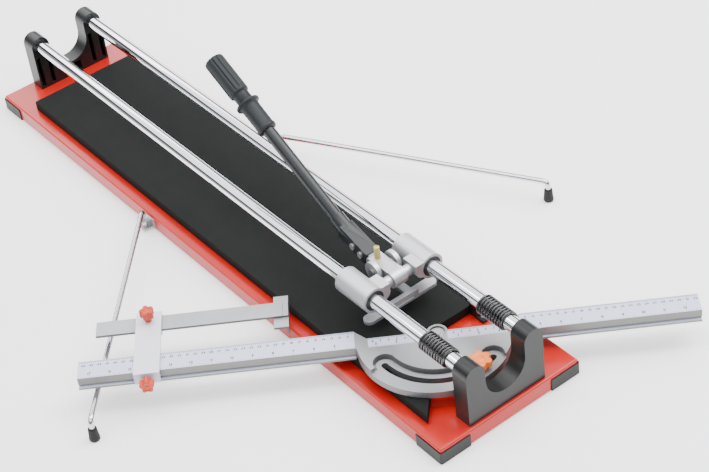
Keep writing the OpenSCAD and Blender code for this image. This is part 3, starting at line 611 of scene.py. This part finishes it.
class CUTTER_OT_tray(CutterOperator):
    """Painted tray: a folded sheet with a round top bend, its stiffener and corner caps"""
    bl_idname = "cutter.tray"
    bl_label = "Tray"

    def build(self):
        low, high = corners("base_tray")
        half_w, half_l = high[0], high[1]
        bend, sheet = sizes().tray_bend / MM, sizes().sheet / MM
        a = np.linspace(0, np.pi / 2, 7)
        # profile rows (inset from the rim, height): the outside up to the middle, the inside back
        outer = [(0.0, low[2]), (0.0, low[2] + 6)]
        outer += [(bend * (1 - math.cos(t)), high[2] - bend * (1 - math.sin(t))) for t in a]
        outer += [(7.0, high[2]), (half_w, high[2])]
        inner = [(half_w, high[2] - sheet), (7.0, high[2] - sheet),
                 (sheet + 0.8, high[2] - sheet), (sheet, high[2] - sheet - 0.8),
                 (sheet, low[2])]
        rows = []
        for inset, z in outer[::-1] + inner[::-1]:
            ring = rounded_rectangle(half_w - inset, half_l - inset, max(2.6 - inset, 0.0))
            rows.append(np.column_stack([ring, np.full(len(ring), z)]))
        piece("tray_shell", [shell(np.array(rows), lids=False)], "red paint", "base",
              stands_for=("base_tray",), angle=50)
        keep("galvanised sheet", "base_stiffener")
        for node in [n for n in NODES if n.startswith("corner_cap")]:
            rounded_copy(node, "cap plastic", 1.1)


class CUTTER_OT_pads(CutterOperator):
    """Rubber pads and the breaker ridge between them"""
    bl_idname = "cutter.pads"
    bl_label = "Pads and ridge"

    def build(self):
        for node in ("pad_left", "pad_right"):
            rounded_copy(node, "pad rubber", 1.0)
        rounded_copy("breaker_ridge", "ridge steel", 0.5, 2)


class CUTTER_OT_brackets(CutterOperator):
    """End brackets with soft moulded edges, their bolts and screws"""
    bl_idname = "cutter.brackets"
    bl_label = "End brackets"

    def build(self):
        for node in ("near_bracket", "far_bracket"):
            rounded_copy(node, "bracket satin", sizes().bracket_edge / MM)
        keep("zinc plate", "rail_bolts", "bracket_screws")


class CUTTER_OT_rails(CutterOperator):
    """Two chromed rails, turned, with rounded ends"""
    bl_idname = "cutter.rails"
    bl_label = "Rails"

    def build(self):
        for node in ("rail_left", "rail_right"):
            low, high = corners(node)
            centre, radius = (low + high) / 2, (high[0] - low[0]) / 2
            along_y = place_at((centre[0], low[1], centre[2]), (1, 0, 0), (0, 1, 0))
            rod = turned(rounded_profile(0, high[1] - low[1], radius, 0.8), 72)
            piece(node + "_rod", [shell(rod)], "chrome", "base", along_y, (node,))


class CUTTER_OT_springs(CutterOperator):
    """Buffer springs: round wire on a helix, with a closed turn at each end"""
    bl_idname = "cutter.springs"
    bl_label = "Buffer springs"

    def build(self):
        for node in ("spring_left", "spring_right"):
            low, high = corners(node)
            centre = (low + high) / 2
            wire = sizes().spring_wire / MM / 2
            turns = sizes().spring_turns
            t = np.linspace(0, 1, turns * 28 + 1)
            # the pitch grows from a wire's width at the ends to an even one between them
            ease = np.clip(np.minimum(t, 1 - t) * turns, 0, 1)
            rise = np.cumsum(0.45 + 0.55 * ease)
            y = wire + (high[1] - low[1] - 2 * wire) * (rise - rise[0]) / (rise[-1] - rise[0])
            radius = (high[2] - low[2]) / 2 - wire - 0.15
            angle = 2 * np.pi * turns * t
            path = np.column_stack([radius * np.cos(angle), y, radius * np.sin(angle)])
            place = place_at((centre[0], low[1], centre[2]))
            piece(node + "_coil", [shell(swept(path, wire, 12))], "spring black", "base",
                  place, (node,), angle=60)


class CUTTER_OT_supports(CutterOperator):
    """Fold-out arms: wire bent down at both ends, a rubber foot, and the hinge bracket"""
    bl_idname = "cutter.supports"
    bl_label = "Support arms"

    def build(self):
        for side in ("left", "right"):
            body = "support_arm_" + side
            pin = middle("arm_rings_" + side)
            foot = middle("arm_foot_" + side)
            out = foot - pin
            out[2] = 0
            reach = np.linalg.norm(out)
            place = place_at((pin[0], pin[1], 0), out)
            low, high = corner("arm_" + side, 0)[2], corner("arm_" + side, 1)[2]
            level = high - ARM_WIRE - 0.3
            bend = sizes().arm_bend / MM
            t = np.linspace(0, 1, 13)[:, None]

            def corner_curve(before, knee, after):
                """A quadratic curve from before to after, drawn towards the knee."""
                return (1 - t) ** 2 * before + 2 * t * (1 - t) * knee + t ** 2 * after

            first, last = np.array([0, 0, level]), np.array([reach, 0, level])
            inwards, below = np.array([bend, 0, 0]), np.array([0, 0, bend])
            path = np.concatenate([
                [(0, 0, low + 0.2)], corner_curve(first - below, first, first + inwards),
                [(reach / 3, 0, level), (reach * 2 / 3, 0, level)],
                corner_curve(last - inwards, last, last - below), [(reach, 0, 7.0)]])
            piece("arm_wire_" + side, [shell(swept(path, ARM_WIRE, 20))], "arm chrome", body,
                  place, ("arm_" + side,))
            z1 = corner("arm_foot_" + side, 1)[2]
            profile = [(0, 5.8), (0.5, 6.6), (1.4, 7.0), (4.5, 7.0), (5.6, 6.9), (6.4, 6.7),
                       (z1 - 2.2, 5.8), (z1 - 0.8, 5.5), (z1, 4.8), (z1, 3.9)]
            at_foot = place_at((foot[0], foot[1], 0), out)
            piece("arm_boot_" + side, [shell(turned(profile, 40))], "foot rubber", body,
                  at_foot, ("arm_foot_" + side,))
            rounded_copy("arm_bracket_" + side, "galvanised sheet", 0.4, 2)
            keep("zinc plate", "arm_rings_" + side)


# ---- carriage, lever and breaker ----

class CUTTER_OT_carriage(CutterOperator):
    """Cast rail housings with soft edges, their bushes, the cross axle and its rings"""
    bl_idname = "cutter.carriage"
    bl_label = "Carriage"

    def build(self):
        for side in ("left", "right"):
            rounded_copy("housing_" + side, "cast alloy", sizes().casting_edge / MM)
            keep("bush nylon", "bushes_" + side)
        keep("zinc plate", "cross_axle")
        keep("cast alloy", "axle_clips")


class CUTTER_OT_lever(CutterOperator):
    """Lever casting, its pins, the brass adjusting screw, the wheel and its holder"""
    bl_idname = "cutter.lever"
    bl_label = "Lever and wheel"

    def build(self):
        rounded_copy("lever_block", "cast alloy", sizes().casting_edge / MM)
        rounded_copy("wheel_holder", "zinc plate", 0.5, 2)
        keep("zinc plate", "ear_pin", "wheel_pin")
        keep("wheel carbide", "scoring_wheel")
        low, high = corners("adjusting_bolt")
        centre, radius = (low + high) / 2, (high[0] - low[0]) / 2
        rise = high[2] - low[2]
        z = np.arange(0.6, rise - 4, 0.25)
        thread = np.column_stack([z, np.full(len(z), radius)])
        rows = np.concatenate([[(0, radius - 0.9)], thread, [
            (rise - 3.6, radius - 0.5), (rise - 3.2, radius), (rise - 0.7, radius),
            (rise, radius - 0.7), (rise, 1.2)]])

        def threaded(t, z, r):
            """r less a triangle wave of z / pitch + t / turn, where the thread runs."""
            phase = np.abs(((z / THREAD_PITCH + t / (2 * np.pi)) % 1.0) * 2 - 1)
            runs = (z > 0.5) & (z < rise - 4)
            return r - THREAD_DEPTH * phase * runs

        piece("brass_screw", [shell(turned(rows, 40, threaded))], "brass", "adjusting_screw",
              place_at((centre[0], centre[1], low[2])), ("adjusting_bolt",), angle=50)


class CUTTER_OT_breaker(CutterOperator):
    """Breaker foot with its two ears, and the pads under its wings"""
    bl_idname = "cutter.breaker"
    bl_label = "Breaker"

    def build(self):
        rounded_copy("breaker_foot", "cast alloy", 0.9)
        rounded_copy("breaker_pads", "foot rubber", 0.3, 2)


# ---- handle ----

class CUTTER_OT_handle(CutterOperator):
    """Handle: socket, tube, sleeve with its collar, and the fluted grip"""
    bl_idname = "cutter.handle"
    bl_label = "Handle"

    def build(self):
        rounded_copy("handle_socket", "handle paint", 1.3)
        keep("zinc plate", "socket_screws")
        keep("handle paint", "handle_tube")
        low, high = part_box("handle_tube")
        # the tube's axis: its box less the tube's own radius at each end
        rise = math.radians(HANDLE_RISE)
        axis = np.array([0, math.cos(rise), math.sin(rise)])
        radius = corner("handle_tube", 1)[0]
        centre = middle("handle_tube")
        length_mm = ((high[1] - low[1]) / MM - 2 * radius * math.sin(rise)) / math.cos(rise)
        foot = centre - axis * (length_mm / 2 + 2)
        place = place_at(foot, (1, 0, 0), axis)
        end = length_mm + 10
        sleeve = [(end - 125, 8.8), (end - 124.8, 11.0), (end - 124, 12.4), (end - 123, 13.1),
                  (end - 121.5, 13.3), (end - 119.5, 13.2), (end - 118, 12.7),
                  (end - 116.5, 12.4), (end - 92, 12.5), (end - 86, 12.6), (end - 83, 13.2),
                  (end - 81.4, 14.6), (end - 81, 15.2), (end - 81, 8.8)]
        piece("grip_sleeve", [shell(turned(sleeve, 64))], "grip plastic", "lever", place,
              ("handle_sleeve",), angle=40)
        collar = sleeve_profile(end - 81, end - 77, 8.7, 17.0, 1.5, 5)
        piece("grip_collar", [shell(turned(collar, 64), wrap_rows=True)], "grip plastic",
              "lever", place, ("handle_collar",), angle=40)
        start = end - 62
        z = np.linspace(start + 4, end - 3.4, 24)
        a = np.linspace(0.15, np.pi / 2, 7)
        rows = [(end - 77, 9.5), (end - 76.6, 10.6), (end - 76, 11.0), (start - 1, 11.0),
                (start, 11.2), (start + 0.6, 12.4), (start + 1.6, 13.4), (start + 3, 13.9)]
        rows += [(k, 14.0) for k in z]
        rows += [(end - 3.4 + 3.4 * math.sin(t), 14 - 3.4 * (1 - math.cos(t))) for t in a]
        rows += [(end, 6.0)]
        flutes, depth = sizes().flutes, sizes().flute_depth / MM

        def fluted(t, z, r):
            """r less depth times a narrow round groove, sin^2 of the flute's phase, faded in
            over the first millimetres of the barrel and out over the rounded end."""
            groove = np.clip(1 - 1.7 * np.abs(np.sin(flutes * t / 2)), 0, 1) ** 0.7
            window = np.clip((z - start - 2.5) / 3, 0, 1) * np.clip((end + 2.0 - z) / 3, 0, 1)
            return r - depth * groove * window

        piece("grip_barrel", [shell(turned(rows, flutes * 20, fluted))], "grip plastic",
              "lever", place, ("handle_grip",), angle=60)


# ---- protractor, ruler and scale ----

class CUTTER_OT_protractor(CutterOperator):
    """Protractor casting, its pivot and clamp posts, the ruler bars and the square stop"""
    bl_idname = "cutter.protractor"
    bl_label = "Protractor and ruler"

    def build(self):
        rounded_copy("protractor", "protractor casting", 0.8)
        for node in ("ruler_left", "ruler_right"):
            rounded_copy(node, "ruler alloy", 0.45, 2)
        rounded_copy("square_stop", "bracket satin", 0.6)
        keep("post steel", "pivot_post", "pivot_washer", "clamp_post")
        keep("zinc plate", "pivot_screw", "ruler_screws")


def digit_shapes(size_mm, extrude_mm):
    """Points and faces of the digits 0 to 9 as closed solids, with each digit's advance."""
    shapes = {}
    for digit in "0123456789":
        text = bpy.data.curves.new("digit", "FONT")
        text.body = digit
        text.size = 1.0
        text.resolution_u = 2
        text.extrude = extrude_mm / size_mm / 2
        text.offset = 0.03
        holder = put("digit", text)
        bpy.context.view_layer.update()
        ready = holder.evaluated_get(bpy.context.evaluated_depsgraph_get())
        mesh = bpy.data.meshes.new_from_object(ready)
        points = np.empty(len(mesh.vertices) * 3)
        mesh.vertices.foreach_get("co", points)
        points = points.reshape(-1, 3) * size_mm / 0.7
        points[:, 0] -= points[:, 0].min()
        shapes[digit] = (points, [list(p.vertices) for p in mesh.polygons],
                         points[:, 0].max() + 0.14 * size_mm)
        bpy.data.objects.remove(holder)
        bpy.data.meshes.remove(mesh)
        bpy.data.curves.remove(text)
    return shapes


def label(shapes, number, x, y, z):
    """Shells of a number, its digits side by side, centred on x with its foot at y."""
    widths = [shapes[digit][2] for digit in str(number)]
    start, shells = x - sum(widths) / 2, []
    for digit, width in zip(str(number), widths):
        shells.append((shapes[digit][0] + (start, y, z), shapes[digit][1]))
        start += width
    return shells


def ticks(x, low_y, high_y, low_z, high_z):
    """Boxes of printed ticks centred on each x, between two y (numbers or one for each)."""
    def rows(*columns):
        return np.column_stack([np.broadcast_to(c, len(x)) for c in columns])
    return boxes(rows(x - TICK, low_y, low_z), rows(x + TICK, high_y, high_z))


def lengths(count, whole, whole_length, half_length, short_length):
    """A tick's length for each count: longest at multiples of whole, then of its half."""
    return np.where(count % whole == 0, whole_length,
                    np.where(count % (whole // 2) == 0, half_length, short_length))


class CUTTER_OT_scale(CutterOperator):
    """Printed scale: millimetre ticks and centimetre numbers on the far side of the rule,
    inch ticks and numbers on the near side, counted outwards from the pivot"""
    bl_idname = "cutter.scale"
    bl_label = "Printed scale"

    def build(self):
        mark = sizes().mark_height / MM
        cm_size, inch_size = sizes().cm_digits / MM, sizes().inch_digits / MM
        top = corner("ruler_left", 1)[2]
        deck = corner("protractor", 1)[2]
        cm_shapes = digit_shapes(cm_size, mark * 2)
        inch_shapes = digit_shapes(inch_size, mark * 2)
        half = RULER_HALF
        for name, last, sign in (("scale_left", LEFT_END - 1, -1),
                                 ("scale_right", RIGHT_END - 1, 1)):
            first = RULER_START + 1
            z = top
            mm = np.arange(math.ceil(first), int(last) + 1)
            tick = lengths(mm, 10, 4.4, 3.2, 2.0)
            shells = [ticks(sign * mm, half - 0.7 - tick, half - 0.7, z - mark, z + mark)]
            eighth = np.arange(math.ceil(first / EIGHTH), int(last / EIGHTH) + 1)
            tick = lengths(eighth, 8, 3.6, 2.6, 1.6)
            shells.append(ticks(sign * eighth * EIGHTH, 0.7 - half, 0.7 - half + tick,
                                z - mark, z + mark))
            for cm in range(math.ceil(first / 10), int(last / 10) + 1):
                shells += label(cm_shapes, cm, sign * cm * 10, half - 9.6, z)
            for inch in range(math.ceil(first / INCH), int(last / INCH) + 1):
                shells += label(inch_shapes, inch, sign * inch * INCH, -half + 5.4, z)
            piece(name, shells, "printed mark", "protractor_ruler", RULER)
        shells, strips = [], []
        for sign in (-1, 1):
            mm = np.arange(12, 86) * 1.0
            shells.append(ticks(sign * mm, -lengths(mm, 10, 2.8, 2.2, 1.5), 0.2,
                                deck, deck + mark))
            eighth = np.arange(4, 28)
            tick = lengths(eighth, 8, 3.0, 2.2, 1.4)
            shells.append(ticks(sign * eighth * EIGHTH, -14.6, tick - 14.6,
                                deck, deck + mark))
            for cm in range(2, 9):
                shells += label(cm_shapes, cm, sign * cm * 10, -6.8, deck)
            for inch in (1, 2, 3):
                shells += label(inch_shapes, inch, sign * inch * INCH, -11.8, deck)
            ends = sorted((sign * 12.0, sign * 86.0))
            strips.append(boxes((ends[0], -15.2, deck - 0.3), (ends[1], 0.6, deck + 0.02)))
        piece("deck_band", strips, "printed band", "protractor_ruler", RULER)
        piece("scale_deck", shells, "printed mark", "protractor_ruler", RULER)


# ---- knobs, slider and stop bar ----

def lobed(count, core, reach, lobe):
    """A radius for turned(): the larger of core and, near each lobe's angle, the far side of
    a circle of radius lobe centred at reach, less however much the row's own r falls short."""
    def radius(t, z, r):
        phase = (t + np.pi / count) % (2 * np.pi / count) - np.pi / count
        across = reach * np.sin(phase)
        far = reach * np.cos(phase) + np.sqrt(np.maximum(lobe ** 2 - across ** 2, 0))
        far = np.where(np.abs(across) < lobe, far, 0)
        edge = np.logaddexp(far * 3, core * 3) / 3
        full = reach + lobe
        return np.where(r > core * 0.72, np.maximum(edge - (full - r), r * 0.4), r)
    return radius


def star(core, reach, lobe, low, high, dish=0.8):
    """Rows (z, r) of a lobed knob: a rounded foot, straight lobes, a rounded crown, and a
    shallow dish round a low button."""
    full = reach + lobe
    a = np.linspace(0, np.pi / 2, 5)
    rows = [(low, core * 0.5)]
    rows += [(low + 0.9 * (1 - math.cos(t)), full - 0.9 * (1 - math.sin(t))) for t in a]
    rows += [(high - 1.6 * (1 - math.sin(t)), full - 1.6 * (1 - math.cos(t))) for t in a]
    rows += [(high - 0.1, core * 0.70), (high - dish, core * 0.62),
             (high - dish, core * 0.42), (high - 0.2, core * 0.34), (high, core * 0.2)]
    return rows


class CUTTER_OT_knobs(CutterOperator):
    """Clamp knob and the slider's two star knobs, each a lobed turned shape"""
    bl_idname = "cutter.knobs"
    bl_label = "Knobs"

    def build(self):
        low, high = corners("protractor_knob")
        centre = (low + high) / 2
        place = place_at((centre[0], centre[1], low[2]))
        rise = high[2] - low[2]
        hub = turned([(0, 7.6), (0.4, 8.6), (rise - 9, 9.0), (rise - 8, 9.0)], 48)
        plan = lobed(6, 11.5, 10.2, 4.8)
        crown = turned(star(11.5, 10.2, 4.8, rise - 9, rise), 180, plan)
        piece("clamp_knob_star", [shell(hub), shell(crown)], "clamp orange", "clamp_knob",
              place, ("protractor_knob",), angle=50)
        plan = lobed(5, 7.2, 6.6, 3.0)
        for node, body, joint, neck, across in (
                ("slider_knob_top", "top_knob", "top_knob_turn", 8, (1, 0, 0)),
                ("slider_knob_front", "front_knob", "front_knob_turn", 4, (0, 0, 1))):
            axis = np.array(JOINTS[joint]["axis"])
            base = slider_face(node)
            place = place_at(base, across, axis)
            stem = turned([(-3.5, 2.6), (-3.2, 2.9), (0.3, 3.0), (0.3, 4.1), (0.7, 4.5),
                           (neck + 0.5, 4.5)], 36)
            crown = turned(star(7.2, 6.6, 3.0, neck, neck + 11), 150, plan)
            piece(node + "_star", [shell(stem), shell(crown)], "knob orange", body, place,
                  (node,), angle=50)


def slider_face(node):
    """The point where a slider knob's axis meets the slider's face, in millimetres."""
    slider_mid = RULER[1].T @ (middle("slider") - RULER[0])
    knob_mid = RULER[1].T @ (middle(node) - RULER[0])
    if node == "slider_knob_top":
        return into(RULER, (slider_mid[0], knob_mid[1], corner("slider", 1)[2]))
    return into(RULER, (slider_mid[0], -23.5, knob_mid[2]))


class CUTTER_OT_slider(CutterOperator):
    """Slider on the ruler, and the stop bar with its cross plate"""
    bl_idname = "cutter.slider"
    bl_label = "Slider and stop bar"

    def build(self):
        rounded_copy("slider", "slider white", 0.7)
        rounded_copy("stop_bar", "stop bar alloy", 0.35, 2)
        rounded_copy("stop_plate", "stop bar alloy", 0.4, 2)


# ---- stage ----

CAMERA_AT = (-0.9976, -1.7416, 1.6070)
CAMERA_AZIMUTH, CAMERA_ELEVATION, CAMERA_ROLL = -33.382, 39.44, -7.709
CAMERA_LENS = 94.4


def area_light(name, at, aim, size, power):
    """A rectangular soft light at a point, facing another."""
    light = bpy.data.lights.new(name, "AREA")
    light.shape = "RECTANGLE"
    light.size, light.size_y = size
    light.energy = power
    obj = put(name, light)
    obj.location = at
    obj.rotation_euler = (Vector(aim) - Vector(at)).to_track_quat("-Z", "Y").to_euler()


class CUTTER_OT_stage(CutterOperator):
    """Pale floor, soft studio light and the camera"""
    bl_idname = "cutter.stage"
    bl_label = "Stage"

    def build(self):
        mesh = bpy.data.meshes.new("floor")
        mesh.from_pydata([(-6, -6, 0), (6, -6, 0), (6, 6, 0), (-6, 6, 0)], [], [(0, 1, 2, 3)])
        floor = put("floor", mesh)
        paper = bpy.data.materials.new("paper floor")
        paper.use_nodes = True
        shader = paper.node_tree.nodes["Principled BSDF"]
        shader.inputs["Base Color"].default_value = (0.95, 0.95, 0.95, 1)
        shader.inputs["Emission Color"].default_value = (1, 1, 1, 1)
        shader.inputs["Emission Strength"].default_value = 0.45
        shader.inputs["Roughness"].default_value = 0.8
        mesh.materials.append(paper)
        world = bpy.data.worlds.new("studio")
        world.use_nodes = True
        tree = world.node_tree
        direction = tree.nodes.new("ShaderNodeTexCoord")
        parts = tree.nodes.new("ShaderNodeSeparateXYZ")
        tree.links.new(direction.outputs["Generated"], parts.inputs[0])
        ramp = tree.nodes.new("ShaderNodeValToRGB")
        # brightness against the height of a direction: pale walls, a dark gap, a soft box
        bands = ((0.0, 0.16), (0.22, 0.20), (0.28, 0.03), (0.44, 0.03), (0.52, 1.0),
                 (1.0, 0.9))
        while len(ramp.color_ramp.elements) < len(bands):
            ramp.color_ramp.elements.new(0.5)
        for stop, (position, bright) in zip(ramp.color_ramp.elements, bands):
            stop.position = position
            stop.color = (bright, bright, bright * 1.02, 1)
        tree.links.new(parts.outputs["Z"], ramp.inputs["Fac"])
        tree.links.new(ramp.outputs["Color"], tree.nodes["Background"].inputs["Color"])
        tree.nodes["Background"].inputs["Strength"].default_value = 2.6
        bpy.context.scene.world = world
        aim = (0, 0, 0.05)
        area_light("key", (1.6, -0.6, 2.4), aim, (1.8, 1.8), 80)
        area_light("top", (-0.3, 0.2, 2.6), aim, (0.8, 2.4), 40)
        area_light("rim", (0.6, 2.6, 1.4), aim, (2.2, 0.8), 20)
        camera_data = bpy.data.cameras.new("camera")
        camera_data.lens = CAMERA_LENS
        camera_data.sensor_width = 36
        camera_data.sensor_fit = "HORIZONTAL"
        camera_data.clip_start, camera_data.clip_end = 0.05, 50
        a, e = math.radians(CAMERA_AZIMUTH), math.radians(CAMERA_ELEVATION)
        roll = math.radians(CAMERA_ROLL)
        back = Vector((math.sin(a) * math.cos(e), -math.cos(a) * math.cos(e), math.sin(e)))
        right = Vector((math.cos(a), math.sin(a), 0))
        up = back.cross(right)
        x_axis = math.cos(roll) * right + math.sin(roll) * up
        y_axis = -math.sin(roll) * right + math.cos(roll) * up
        turn = Matrix((x_axis, y_axis, back)).transposed().to_4x4()
        camera = put("camera", camera_data)
        camera.matrix_world = Matrix.Translation(CAMERA_AT) @ turn
        bpy.context.scene.camera = camera


# ---- add-on ----

STEPS = (CUTTER_OT_stage, CUTTER_OT_tray, CUTTER_OT_pads, CUTTER_OT_brackets,
         CUTTER_OT_rails, CUTTER_OT_springs, CUTTER_OT_supports, CUTTER_OT_carriage,
         CUTTER_OT_lever, CUTTER_OT_breaker, CUTTER_OT_handle, CUTTER_OT_protractor,
         CUTTER_OT_scale, CUTTER_OT_knobs, CUTTER_OT_slider)


class CUTTER_PT_panel(Panel):
    """Lists the cutter's sizes, colours and building steps"""
    bl_idname = "CUTTER_PT_panel"
    bl_label = "Tile cutter"
    bl_space_type = "VIEW_3D"
    bl_region_type = "UI"
    bl_category = "Tile cutter"

    def draw(self, context):
        for group in (context.scene.cutter_sizes, context.scene.cutter_colours):
            box = self.layout.box()
            for key in group.__annotations__:
                box.prop(group, key)
        for step in STEPS:
            self.layout.operator(step.bl_idname)


CLASSES = (CutterSizes, CutterColours, *STEPS, CUTTER_PT_panel)


def register():
    for cls in CLASSES:
        bpy.utils.register_class(cls)
    bpy.types.Scene.cutter_sizes = PointerProperty(type=CutterSizes)
    bpy.types.Scene.cutter_colours = PointerProperty(type=CutterColours)


def unregister():
    del bpy.types.Scene.cutter_colours
    del bpy.types.Scene.cutter_sizes
    for cls in reversed(CLASSES):
        bpy.utils.unregister_class(cls)


def main():
    """Registers the add-on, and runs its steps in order."""
    register()
    for step in STEPS:
        group, name = step.bl_idname.split(".")
        getattr(getattr(bpy.ops, group), name)()


if __name__ == "__main__":
    main()
